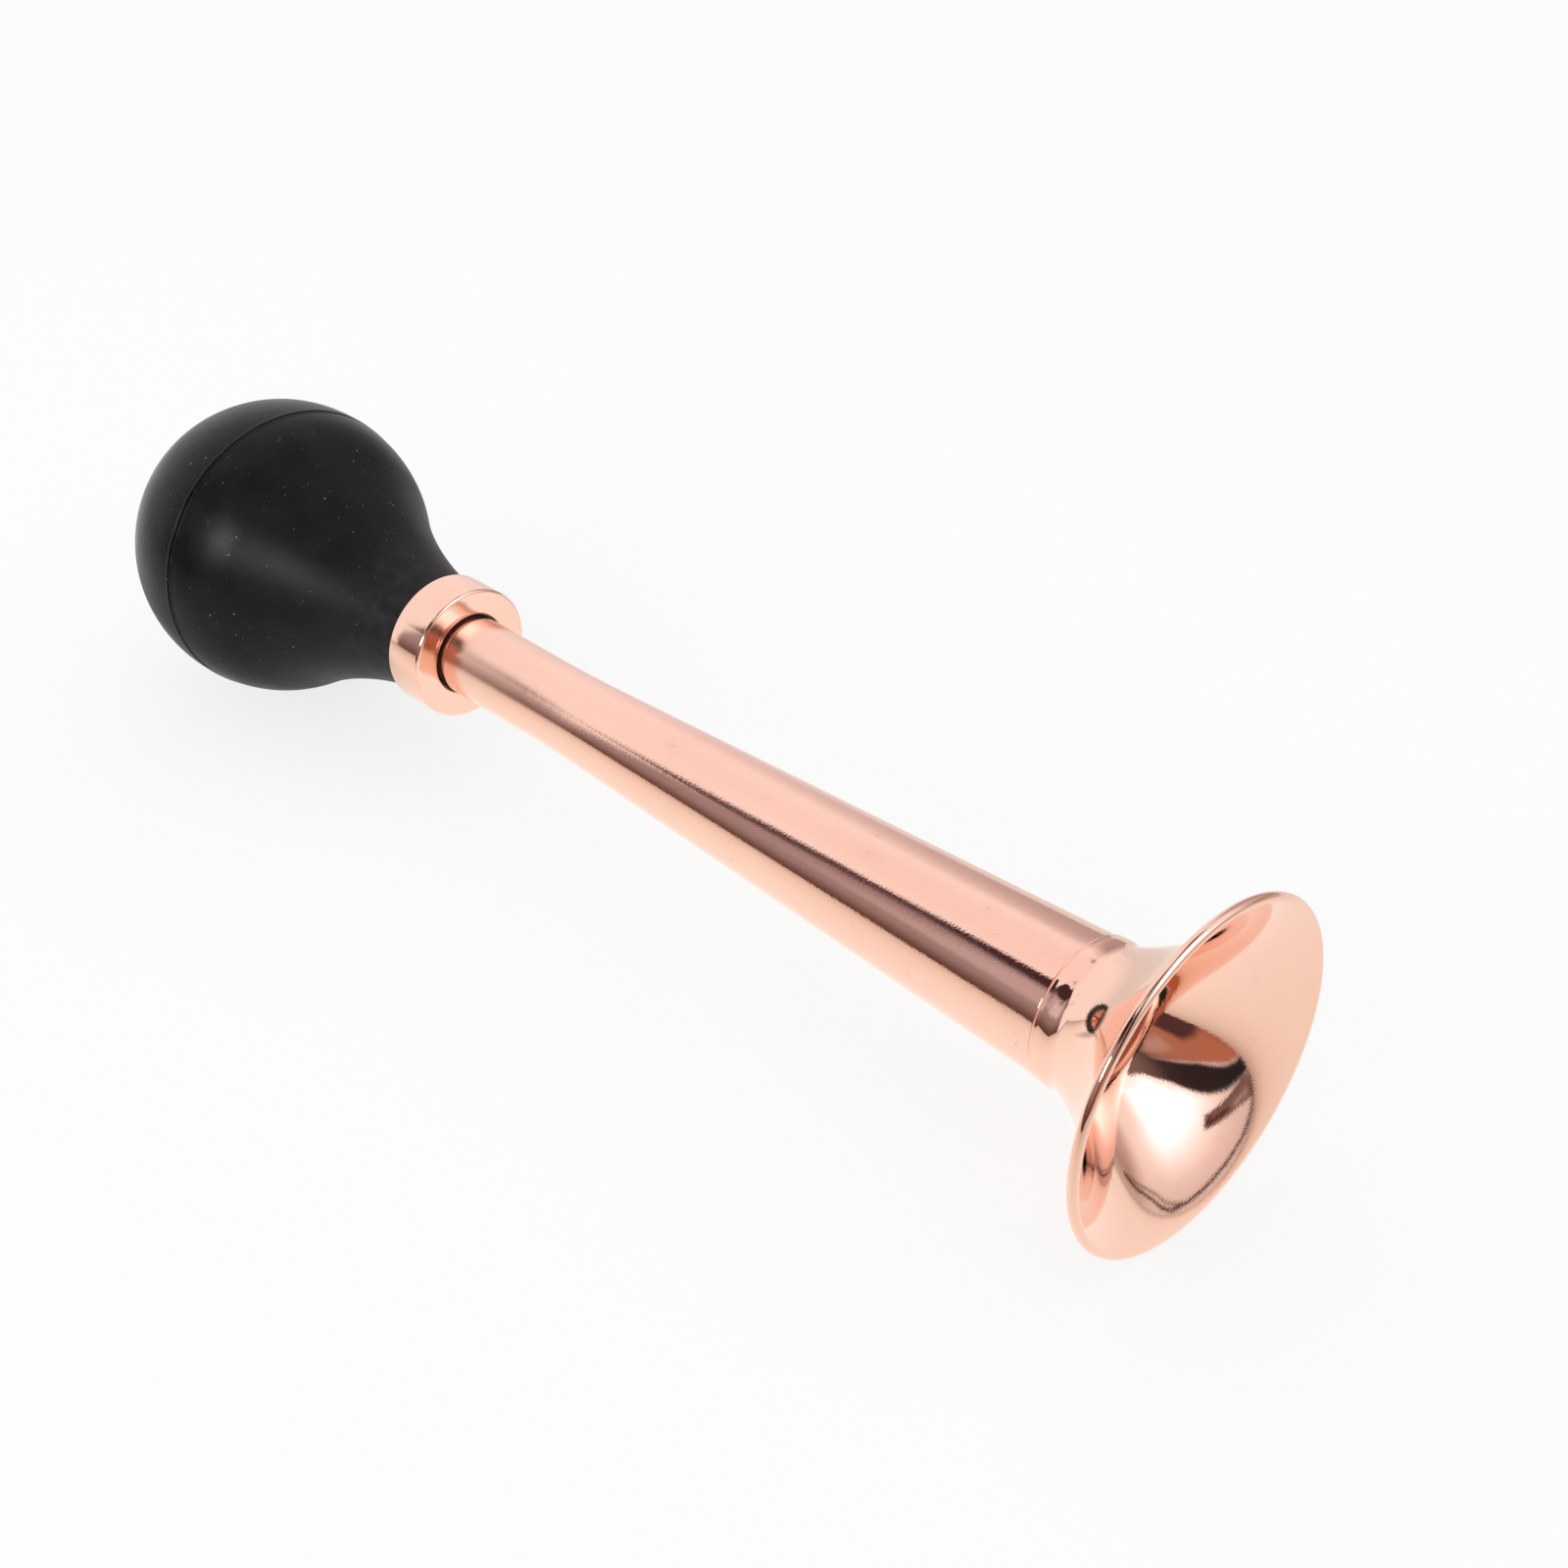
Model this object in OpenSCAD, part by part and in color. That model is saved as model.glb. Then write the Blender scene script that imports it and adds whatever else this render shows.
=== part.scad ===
// Bulb horn lying on its side: rubber bulb, collar, tapered tube, flared bell and the reed inside the neck.
// The horn's axis is X, the bell points to +X and Z is up. The origin is on the axis, in the middle of
// the straight stretch of tube in front of the collar, where a bracket holds the horn.

/* [Bulb] */
// Outer diameter of the rubber bulb
bulb_d = 48.8; // [44:0.2:56]
// Thickness of the rubber round the bulb
bulb_wall = 2.4; // [1.6:0.1:3.2]
// Outer diameter of the neck where it enters the collar
neck_d = 18.2; // [17.8:0.1:19.2]
// Angle to the axis of the side of the neck where it enters the collar
neck_slope = 8.5; // [4:0.5:12]
// Distance from the middle of the bulb to the rear edge of the collar
neck_reach = 42.6; // [38:0.2:50]
// Distance from the rear edge of the collar to the thick end of the neck inside it
neck_bead_inset = 0.9; // [0.5:0.1:1.6]
// Distance of the moulding seam in front of the middle of the bulb
seam_offset = 2.6; // [0.4:0.1:5]
// Width and depth of each side of the groove along the seam
seam_groove = 0.35; // [0.1:0.05:0.8]

/* [Collar] */
// Outer diameter of the collar
collar_d = 21.3; // [20.9:0.1:24]
// Length of the collar along the axis
collar_len = 7; // [5.5:0.1:12]
// Thickness of the wall of the collar
collar_wall = 0.8; // [0.5:0.05:1.1]
// Thickness of the flat front of the collar
collar_front = 1; // [0.7:0.05:1.6]
// Radius of the rounded front edge
collar_edge = 0.75; // [0.3:0.05:1.2]
// Diameter of the hole that the tube comes out of
collar_hole_d = 13.4; // [13:0.1:14.6]
// Radius of the rounded edge of the hole
collar_hole_edge = 0.3; // [0.1:0.05:0.5]

/* [Neck bush] */
// Outer diameter of the bush inside the rubber neck
bush_d = 16; // [15:0.1:16.8]
// Length of the bush
bush_len = 19; // [17:0.2:26]
// Thickness of the flange that the end of the rubber neck sits against
bush_flange = 1.6; // [1:0.1:2.4]
// Diameter of the narrow rear opening that the reed passes through
bush_throat_d = 10; // [9:0.1:10.8]
// Depth of the grooves that grip the rubber
bush_groove = 0.5; // [0.2:0.05:0.9]
// Number of gripping grooves
bush_grooves = 3; // [1:1:4]

/* [Horn tube] */
// Outer diameter of the straight stretch of the tube
tube_d = 12.6; // [12.2:0.1:12.9]
// Wall of the tube
tube_wall = 0.6; // [0.4:0.05:0.8]
// Length of the straight stretch, the clamp seat
seat_len = 22.8; // [16:0.2:40]
// Distance from the face of the collar to the start of the straight stretch
seat_start = 1.2; // [0.8:0.1:3]
// Diameter of the spigot that plugs into the bush
spigot_d = 12; // [11.6:0.05:12.1]
// Depth of the spigot inside the bush
spigot_depth = 11.5; // [9:0.1:13]
// Distance from the face of the collar to the edge of the bell's sleeve
tube_len = 122; // [90:1:160]
// Outer diameter of the tube at the edge of the sleeve
tube_big_d = 20.7; // [18:0.1:22]
// Distance that the front end of the tube stays behind the front of the sleeve
lap_short = 0.5; // [0.3:0.1:1]

/* [Bell] */
// Length of the bell from the edge of its sleeve to the mouth
bell_len = 19; // [17:0.2:30]
// Length of the sleeve that laps over the tube
sleeve_len = 3.4; // [2.6:0.1:5]
// Height of the sleeve's edge above the tube
sleeve_step = 0.25; // [0.15:0.01:0.4]
// Thickness of the bell's sheet
bell_sheet = 0.5; // [0.35:0.05:0.6]
// Outer diameter of the mouth over its bead
mouth_d = 50; // [44:0.2:60]
// Diameter of the curled bead round the mouth
bead_d = 1.5; // [1.3:0.05:2]
// Angle of the flare to the axis where it leaves the sleeve
flare_start_angle = 25; // [15:1:35]
// Angle of the flare to the axis at the mouth
flare_mouth_angle = 62; // [50:1:72]
// Turn of the bead from the front of the mouth round to its free edge behind
curl_turn = 265; // [200:5:280]

/* [Reed] */
// Length of the reed plug inside the tube
plug_len = 8; // [6:0.1:9]
// Thickness of the plug's flange against the end of the tube
plug_flange = 1.5; // [1:0.1:2]
// Outer diameter of the reed trough
shallot_d = 7.2; // [6.4:0.1:7.6]
// Wall of the reed trough
shallot_wall = 1; // [0.7:0.05:1.3]
// Length of the reed trough behind the plug
shallot_reach = 25; // [20:0.5:30]
// Distance that the front end of the trough stays behind the front of the plug
shallot_inset = 1.5; // [0.5:0.1:2.5]
// Height of the trough's flat above the axis
shallot_flat = 0.8; // [0.4:0.05:1.2]
// Thickness of the closed tip of the trough
shallot_tip = 1.2; // [0.8:0.1:2]
// Width of the tongue
tongue_w = 6.2; // [5.4:0.1:6.4]
// Thickness of the tongue
tongue_t = 0.25; // [0.15:0.01:0.35]
// Distance that the end of the tongue stays short of the end of the trough
tongue_short = 0.6; // [0.2:0.1:1]
// Length of the tongue's root inside the plug
root_len = 3; // [2:0.1:4]
// Angle between the tongue at rest and the flat of the trough
tongue_angle = 2.2; // [1:0.1:2.5]
// Length of the wedge inside the plug
wedge_len = 5; // [4:0.1:5.5]
// Length of the wedge's end that stands out of the plug
wedge_out = 1.2; // [0.5:0.1:2]
// Height that the wedge loses towards its thin end
wedge_rise = 0.6; // [0.2:0.1:1]

/* [Fits] */
// Radial clearance of the spigot in the bush
spigot_fit = 0.03; // [0.01:0.01:0.08]
// Radial clearance between pieces that are pressed or soldered together
press_fit = 0.02; // [0.01:0.01:0.03]
// Clearance behind the end of the plug in the bush
end_gap = 0.1; // [0.05:0.05:0.3]
// Clearance left round the tongue's root when it is tilted
root_gap = 0.04; // [0.02:0.01:0.1]
// Gap left between the tongue and the flat when it is closed
closed_gap = 0.02; // [0.01:0.01:0.05]

/* [Hidden] */
$fn = 96;
// Steps along each arc or curve of an outline
arc_steps = 16;
// Reach of a cutting shape past the surface that it cuts
over = 1;

// Places along the axis, from the clamp seat outwards
seat_front = seat_len / 2;
seat_rear = -seat_len / 2;
face_x = seat_rear - seat_start;
lap_x = face_x + tube_len;
mouth_x = lap_x + bell_len;
collar_rear = face_x - collar_len;
bulb_x = collar_rear - neck_reach;
seam_x = bulb_x + seam_offset;
bush_front = face_x - collar_front;
bush_rear = bush_front - bush_len;
neck_end = bush_front - bush_flange;
tube_end = bush_front - spigot_depth;
plug_rear = tube_end - plug_flange;
plug_front = tube_end + plug_len;
shallot_end = plug_rear - shallot_reach;

bulb_r = bulb_d / 2;
bush_r = bush_d / 2;
tube_r = tube_d / 2;
spigot_r = spigot_d / 2;
bore_r = spigot_r - tube_wall;
shallot_r = shallot_d / 2;
hole_r = shallot_r + press_fit;
tongue_z = shallot_flat + closed_gap;
root_room = root_len * sin(tongue_angle) + root_gap;
neck_in_collar = collar_d / 2 - collar_wall - press_fit;
// The end of the tube is drawn in, so that the sleeve laps over it and stands up only by its step
sleeve_r = tube_big_d / 2 + sleeve_step;
sleeve_bore = sleeve_r - bell_sheet;
drawn_r = sleeve_bore - press_fit;

// Points on an arc round a centre, from one angle to another
function arc(centre, r, from, to, steps = arc_steps) =
    [for (i = [0 : steps]) let (a = from + (to - from) * i / steps) centre + r * [cos(a), sin(a)]];

// Radius of the hollow arc that runs tangent from a ball to a neck's end at reach, where it still slopes
function hollow_r(ball, neck, reach, slope) = (reach * reach + neck * neck - ball * ball)
    / (2 * (ball - reach * sin(slope) - neck * cos(slope)));

// Outline points [radius, x] from an angle on the ball, over the hollow arc, to the end of the neck
function ball_and_neck(ball, neck, reach, slope, from) =
    let (h = hollow_r(ball, neck, reach, slope), middle = [neck + h * cos(slope), reach + h * sin(slope)],
        turn = atan2(middle[1], middle[0]))
    concat(arc([0, bulb_x], ball, from, turn), arc([middle[0], bulb_x + middle[1]], h, 180 + turn, 180 + slope));

// Solid of revolution round the X axis from outline points [radius, x]
module turned(points) {
    rotate([0, 90, 0]) rotate_extrude() polygon(points);
}

module bulb_rear() {
    seam_angle = asin(seam_offset / bulb_r);
    groove_angle = asin((seam_offset - seam_groove) / bulb_r);
    inner_r = bulb_r - bulb_wall;
    color([0.07, 0.07, 0.08]) turned(concat(
        arc([0, bulb_x], bulb_r, -90, groove_angle, 2 * arc_steps),
        [[bulb_r * cos(seam_angle) - seam_groove, seam_x]],
        arc([0, bulb_x], inner_r, asin(seam_offset / inner_r), -90, 2 * arc_steps)));
}

module bulb_front() {
    seam_angle = asin(seam_offset / bulb_r);
    groove_angle = asin((seam_offset + seam_groove) / bulb_r);
    inner_r = bulb_r - bulb_wall;
    outside = ball_and_neck(bulb_r, neck_d / 2, neck_reach, neck_slope, groove_angle);
    inside = ball_and_neck(inner_r, bush_r + press_fit, bush_rear - bulb_x, 0, asin(seam_offset / inner_r));
    color([0.08, 0.08, 0.09]) turned(concat(
        [[bulb_r * cos(seam_angle) - seam_groove, seam_x]],
        outside,
        [[neck_in_collar, collar_rear + neck_bead_inset], [neck_in_collar, neck_end],
            [bush_r + press_fit, neck_end]],
        [for (i = [len(inside) - 1 : -1 : 0]) inside[i]]));
}

// Drawn cup that holds the rubber neck round the bush
module collar() {
    r = collar_d / 2;
    hole = collar_hole_d / 2;
    color([0.93, 0.68, 0.56]) turned(concat(
        [[r, collar_rear]],
        arc([r - collar_edge, face_x - collar_edge], collar_edge, 0, 90),
        arc([hole + collar_hole_edge, face_x - collar_hole_edge], collar_hole_edge, 90, 180, 6),
        [[hole, bush_front], [r - collar_wall, bush_front], [r - collar_wall, collar_rear]]));
}

// Bush with a flange in front, a bore for the spigot, a narrower throat and saw-tooth grip grooves
module neck_bush() {
    flange_r = neck_in_collar;
    bore = spigot_r + spigot_fit;
    step_x = plug_rear - end_gap;
    pitch = (bush_len - bush_flange) / (bush_grooves + 1);
    color([0.12, 0.12, 0.13]) difference() {
        turned([[bore, bush_front], [flange_r, bush_front], [flange_r, neck_end], [bush_r, neck_end],
            [bush_r, bush_rear], [bush_throat_d / 2, bush_rear], [bush_throat_d / 2, step_x], [bore, step_x]]);
        for (i = [1 : bush_grooves])
            turned([[bush_r - bush_groove, neck_end - i * pitch], [bush_r + over, neck_end - i * pitch],
                [bush_r + over, neck_end - (i - 0.5) * pitch], [bush_r, neck_end - (i - 0.5) * pitch]]);
    }
}

// Tube with the spigot behind, the straight clamp seat, the long taper and the end drawn in for the sleeve
module horn_tube() {
    lap_end = lap_x + sleeve_len - lap_short;
    shoulder = tube_r - spigot_r;
    draw = tube_big_d / 2 - drawn_r;
    color([0.93, 0.68, 0.56]) turned([
        [bore_r, tube_end], [spigot_r, tube_end], [spigot_r, seat_rear - shoulder], [tube_r, seat_rear],
        [tube_r, seat_front], [tube_big_d / 2, lap_x - draw - press_fit], [drawn_r, lap_x - press_fit],
        [drawn_r, lap_end], [drawn_r - tube_wall, lap_end], [drawn_r - tube_wall, lap_x - press_fit],
        [tube_big_d / 2 - tube_wall, lap_x - draw - press_fit], [tube_r - tube_wall, seat_front],
        [tube_r - tube_wall, seat_rear], [bore_r, seat_rear - shoulder]]);
}

// Direction at an angle to the axis, and the side of it that faces out and back, both as [radius, x]
function way(angle) = [sin(angle), cos(angle)];
function out_side(d) = [d[1], -d[0]] / norm(d);
function cross2(a, b) = a[0] * b[1] - a[1] * b[0];

// Points at a distance out from the flare's middle line, which bends from the sleeve towards the bead
function flare_side(from, bend, to, out) =
    [for (i = [0 : 2 * arc_steps]) let (t = i / (2 * arc_steps), u = 1 - t)
        u * u * from + 2 * t * u * bend + t * t * to + out * out_side(u * (bend - from) + t * (to - bend))];

// Spun sheet: sleeve, flare and a bead curled back round the mouth
module bell() {
    half = bell_sheet / 2;
    curl_r = bead_d / 2;
    curl = [mouth_d / 2 - curl_r, mouth_x - curl_r];
    curl_start = 180 - flare_mouth_angle;
    curl_end = curl_start - curl_turn;
    from = [sleeve_r - half, lap_x + sleeve_len];
    to = curl + (curl_r - half) * [cos(curl_start), sin(curl_start)];
    reach = cross2(to - from, way(flare_mouth_angle)) / cross2(way(flare_start_angle), way(flare_mouth_angle));
    bend = from + reach * way(flare_start_angle);
    back = flare_side(from, bend, to, half);
    color([0.93, 0.68, 0.56]) turned(concat(
        [[sleeve_r, lap_x], [sleeve_bore, lap_x]],
        flare_side(from, bend, to, -half),
        arc(curl, curl_r, curl_start, curl_end, 2 * arc_steps),
        arc(curl, curl_r - bell_sheet, curl_end, curl_start, 2 * arc_steps),
        [for (i = [len(back) - 1 : -1 : 0]) back[i]]));
}

// Turned plug in the end of the tube, with the hole that holds the trough and the wedge
module reed_plug() {
    body_r = bore_r - press_fit;
    flange_r = spigot_r - press_fit;
    color([0.80, 0.63, 0.33]) turned([[hole_r, plug_front], [body_r, plug_front], [body_r, tube_end],
        [flange_r, tube_end], [flange_r, plug_rear], [hole_r, plug_rear]]);
}

// Rod along X between two places
module rod(r, from, to) {
    translate([from, 0, 0]) rotate([0, 90, 0]) cylinder(h = to - from, r = r);
}

// Block from one place along X to another, across the whole reed above a height
module block_above(z, from, to) {
    translate([from, -shallot_d, z]) cube([to - from, 2 * shallot_d, shallot_d]);
}

// Half-round trough with a closed tip and a seat sunk under the root of the tongue
module reed_shallot() {
    front = plug_front - shallot_inset;
    color([0.80, 0.63, 0.33]) difference() {
        rod(shallot_r, shallot_end, front);
        rod(shallot_r - shallot_wall, shallot_end + shallot_tip, front + over);
        block_above(shallot_flat, shallot_end - over, front + over);
        block_above(shallot_flat - root_room, plug_rear, plug_rear + root_len + root_gap);
    }
}

// Outline in X and Z drawn out to a width along Y
module strip(points, w) {
    rotate([90, 0, 0]) linear_extrude(w, center = true) polygon(points);
}

// Thin strip that lies level in the plug and rises behind it, clear of the trough's flat
module reed_tongue() {
    long = shallot_reach - tongue_short;
    d = long * [-cos(tongue_angle), sin(tongue_angle)];
    up = tongue_t * [sin(tongue_angle), cos(tongue_angle)];
    root = [plug_rear + root_len, tongue_z];
    bend = [plug_rear, tongue_z];
    color([0.72, 0.50, 0.28])
        strip([root, bend, bend + d, bend + d + up, bend + [0, tongue_t], root + [0, tongue_t]], tongue_w);
}

// Wedge over the root of the tongue, thicker where it stands out of the plug
module reed_wedge() {
    under = tongue_z + tongue_t + root_room;
    from = plug_rear - wedge_out;
    to = plug_rear + wedge_len;
    color([0.55, 0.43, 0.24]) intersection() {
        rod(shallot_r, from, to);
        strip([[from, under], [to, under + wedge_rise], [to, shallot_d], [from, shallot_d]], shallot_d);
    }
}

bell();
horn_tube();
collar();
neck_bush();
reed_plug();
reed_shallot();
reed_tongue();
reed_wedge();
bulb_front();
bulb_rear();
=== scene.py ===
import math

import bmesh
import bpy
import numpy as np
from mathutils import Matrix, Vector, noise


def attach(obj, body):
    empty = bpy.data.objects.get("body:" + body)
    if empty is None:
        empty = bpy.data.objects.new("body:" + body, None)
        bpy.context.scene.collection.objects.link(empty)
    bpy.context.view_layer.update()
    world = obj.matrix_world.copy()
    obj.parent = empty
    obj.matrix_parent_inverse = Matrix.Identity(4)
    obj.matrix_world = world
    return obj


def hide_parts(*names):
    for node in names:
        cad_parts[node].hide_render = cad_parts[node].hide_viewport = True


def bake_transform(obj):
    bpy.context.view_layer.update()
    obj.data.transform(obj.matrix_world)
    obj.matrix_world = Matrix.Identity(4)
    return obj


# Bulb horn on a pale table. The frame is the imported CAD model: the horn's axis is X, the bell points to +X,
# Z is up. Outlines below are lists of (x, r) in millimetres: x along the axis, r away from it.

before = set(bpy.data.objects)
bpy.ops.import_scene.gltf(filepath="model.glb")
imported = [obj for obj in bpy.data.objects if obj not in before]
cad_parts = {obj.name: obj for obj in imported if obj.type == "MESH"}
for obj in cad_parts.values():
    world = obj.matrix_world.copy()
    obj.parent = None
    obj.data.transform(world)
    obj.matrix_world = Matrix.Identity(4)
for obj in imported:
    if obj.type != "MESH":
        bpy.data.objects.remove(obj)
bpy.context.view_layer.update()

# places along the axis that several pieces share
along = {
    "bulbMiddle": -62.2, "seam": -59.6, "bushRear": -32.6, "plugRear": -26.6, "tubeEnd": -25.1,
    "collarRear": -19.6, "plugFront": -17.1, "neckEnd": -15.2, "bushFront": -13.6, "collarFace": -12.6,
    "seatRear": -11.4, "seatFront": 11.4, "lap": 109.4, "mouth": 128.4,
}


# outlines and meshes

def arcPath(x, r, radius, start, end, steps=12):
    # 0 degrees points along +x, 90 degrees away from the axis
    turns = [math.radians(start + (end - start) * i / steps) for i in range(steps + 1)]
    return [(x + radius * math.cos(t), r + radius * math.sin(t)) for t in turns]


def rounded(corners, steps=6):
    # outline from corners (x, r, radius of the rounding)
    path = []
    for i, (x, r, radius) in enumerate(corners):
        if radius <= 0:
            path.append((x, r))
            continue
        here = Vector((x, r))
        back = Vector(corners[i - 1][:2]) - here
        ahead = Vector(corners[(i + 1) % len(corners)][:2]) - here
        half = back.angle(ahead) / 2
        reach = min(radius / math.tan(half), back.length * 0.45, ahead.length * 0.45)
        size = reach * math.tan(half)
        middle = here + (back.normalized() + ahead.normalized()).normalized() * size / math.sin(half)
        first, last = here + back.normalized() * reach - middle, here + ahead.normalized() * reach - middle
        start = math.degrees(math.atan2(first.y, first.x))
        turn = (math.degrees(math.atan2(last.y, last.x)) - start + 180) % 360 - 180
        path += arcPath(*middle, size, start, start + turn, steps)
    return path


def graded(path, step=2.5, fine=0.05, closed=True):
    # more rings on long stretches, close together at their ends, so that smooth shading stays true there
    ends = path[1:] + path[:1] if closed else path[1:]
    rings = []
    for a, b in zip(path, ends):
        rings.append(a)
        long = math.dist(a, b)
        marks, at, gap = [], fine, fine
        while at < long / 2:
            marks += [at, long - at]
            gap = min(gap * 2, step)
            at += gap
        rings += [(a[0] + (b[0] - a[0]) * t / long, a[1] + (b[1] - a[1]) * t / long) for t in sorted(marks)]
    return rings if closed else rings + path[-1:]


def smoothStep(low, high, value):
    t = min(max((value - low) / (high - low), 0.0), 1.0)
    return t * t * (3 - 2 * t)


def keepRest(mesh):
    # each point's place at rest, for textures that stay on the surface when a piece bends
    rest = mesh.attributes.new("restPlace", "FLOAT_VECTOR", "POINT")
    rest.data.foreach_set("vector", [c for v in mesh.vertices for c in v.co])


def shown(name, mesh):
    piece = bpy.data.objects.new(name, mesh)
    bpy.context.scene.collection.objects.link(piece)
    return piece


def spin(name, path, around=192, closed=True, wobble=None):
    # turns an outline round X; an open path starts and ends on the axis
    points, rings, faces = [], [], []
    for x, r in path:
        count = around if r > 1e-6 else 1
        rings.append(range(len(points), len(points) + count))
        turns = [2 * math.pi * k / around for k in range(count)]
        points += [Vector((x, r * math.cos(t), r * math.sin(t))) / 1000 for t in turns]
    for a, b in zip(rings, list(rings[1:]) + rings[:1] if closed else rings[1:]):
        for k in range(around):
            n = (k + 1) % around
            corners = [a[k % len(a)], b[k % len(b)], b[n % len(b)], a[n % len(a)]]
            faces.append(list(dict.fromkeys(corners)))
    mesh = bpy.data.meshes.new(name)
    mesh.from_pydata(points, [], faces)
    work = bmesh.new()
    work.from_mesh(mesh)
    bmesh.ops.recalc_face_normals(work, faces=work.faces)
    work.to_mesh(mesh)
    work.free()
    keepRest(mesh)
    if wobble:
        for v in mesh.vertices:
            v.co = wobble(v.co)
    mesh.shade_smooth()
    return shown(name, mesh)


def softened(name, node, edge):
    # a CAD node's shape with its sharp edges broken
    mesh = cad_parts[node].data.copy()
    mesh.name = name
    work = bmesh.new()
    work.from_mesh(mesh)
    bmesh.ops.remove_doubles(work, verts=work.verts, dist=1e-7)
    bmesh.ops.dissolve_limit(work, angle_limit=math.radians(1), verts=work.verts, edges=work.edges)
    sharp = [e for e in work.edges if len(e.link_faces) == 2 and e.calc_face_angle() > math.radians(25)]
    bmesh.ops.bevel(work, geom=sharp, offset=edge / 1000, segments=2, affect="EDGES", profile=0.5,
                    clamp_overlap=True)
    work.to_mesh(mesh)
    work.free()
    mesh.materials.clear()
    keepRest(mesh)
    mesh.shade_smooth()
    mesh.set_sharp_from_angle(angle=math.radians(30))
    return shown(name, mesh)


def dress(piece, material, nodes, body=None):
    piece.data.materials.append(material)
    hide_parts(*nodes)
    if body:
        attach(piece, body)
    print("made", piece.name, "with", len(piece.data.polygons), "faces")


# shader maths

class Wire:
    # one output of a node; an operator on it adds a Math node
    def __init__(self, finish, socket):
        self.finish = finish
        self.socket = socket

    def maths(self, operation, first, second):
        return self.finish.maths(operation, first, second)

    def __add__(self, other):
        return self.maths("ADD", self, other)

    def __radd__(self, other):
        return self.maths("ADD", other, self)

    def __sub__(self, other):
        return self.maths("SUBTRACT", self, other)

    def __rsub__(self, other):
        return self.maths("SUBTRACT", other, self)

    def __mul__(self, other):
        return self.maths("MULTIPLY", self, other)

    def __rmul__(self, other):
        return self.maths("MULTIPLY", other, self)

    def __pow__(self, other):
        return self.maths("POWER", self, other)

    def capped(self, other=1.0):
        return self.maths("MINIMUM", self, other)


class Finish:
    # a node tree, of a material or of the world
    def __init__(self, owner):
        owner.use_nodes = True
        self.owner = owner
        self.tree = owner.node_tree

    def add(self, kind, settings=None, sockets=None, output=0):
        node = self.tree.nodes.new(kind)
        for name, value in (settings or {}).items():
            if name == "stops":
                ramp = node.color_ramp
                for place, _ in value[2:]:
                    ramp.elements.new(place)
                for element, (place, colour) in zip(ramp.elements, value):
                    element.position = place
                    element.color = (*colour, 1)
            else:
                setattr(node, name, value)
        for name, value in (sockets or {}).items():
            self.fill(node, name, value)
        return Wire(self, node.outputs[output])

    def fill(self, node, name, value):
        if isinstance(value, Wire):
            self.tree.links.new(value.socket, node.inputs[name])
        elif node.inputs[name].type == "RGBA":
            node.inputs[name].default_value = (*value, 1)
        else:
            node.inputs[name].default_value = value

    def maths(self, operation, first, second=0.0):
        return self.add("ShaderNodeMath", {"operation": operation}, {0: first, 1: second})

    def rays(self, kind):
        return self.add("ShaderNodeLightPath", output=kind)

    def principled(self, **sockets):
        shader = self.tree.nodes["Principled BSDF"]
        for name, value in sockets.items():
            self.fill(shader, name.replace("_", " "), value)
        return self.owner

    def place(self, stretch=(1, 1, 1)):
        # the place at rest in millimetres, stretched along each axis
        rest = self.add("ShaderNodeAttribute", {"attribute_name": "restPlace"}, output="Vector")
        return self.stretched(rest, [1000 * s for s in stretch])

    def stretched(self, vector, factors):
        return self.add("ShaderNodeVectorMath", {"operation": "MULTIPLY"}, {0: vector, 1: factors})

    def turned(self, vector, angles):
        return self.add("ShaderNodeVectorRotate", {"rotation_type": "EULER_XYZ"},
                        {"Vector": vector, "Rotation": angles})

    def parts(self, vector):
        split = self.add("ShaderNodeSeparateXYZ", sockets={"Vector": vector}).socket.node
        return [Wire(self, split.outputs[i]) for i in range(3)]

    def cloud(self, vector, perMm, detail=3.0, rough=0.5):
        return self.add("ShaderNodeTexNoise", sockets={"Vector": vector, "Scale": perMm, "Detail": detail,
                                                       "Roughness": rough})

    def spread(self, value, low, high, toLow=0.0, toHigh=1.0):
        ends = {"Value": value, "From Min": low, "From Max": high, "To Min": toLow, "To Max": toHigh}
        return self.add("ShaderNodeMapRange", {"clamp": True}, ends)

    def specks(self, vector, perMm, share, size):
        # round dots in a share of the cells
        cells = self.add("ShaderNodeTexVoronoi", {"feature": "F1"}, {"Vector": vector, "Scale": perMm})
        chance = self.parts(Wire(self, cells.socket.node.outputs["Color"]))[0]
        dots = self.spread(cells, size * 0.6, size, 1.0, 0.0)
        return dots * self.spread(chance, share, share + 0.02, 1.0, 0.0)

    def hairlines(self, vector, angles, thick=0.006):
        # long thin lines that wander a little
        cells = self.cloud(self.stretched(self.turned(vector, angles), (0.05, 1.1, 1.1)), 1.0, 0)
        away = cells - 0.5
        return self.spread(away * away, 0.0, thick * thick, 1.0, 0.0)

    def tinted(self, share, first, second):
        return self.add("ShaderNodeMix", {"data_type": "RGBA"}, {0: share, 6: first, 7: second}, output=2)

    def bump(self, height, microns, under=None):
        sockets = {"Height": height, "Distance": microns * 1e-6}
        if under:
            sockets["Normal"] = under
        return self.add("ShaderNodeBump", sockets=sockets)


def newFinish(name):
    return Finish(bpy.data.materials.new(name))


# copper plate, shared by the bell, the tube and the collar

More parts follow.
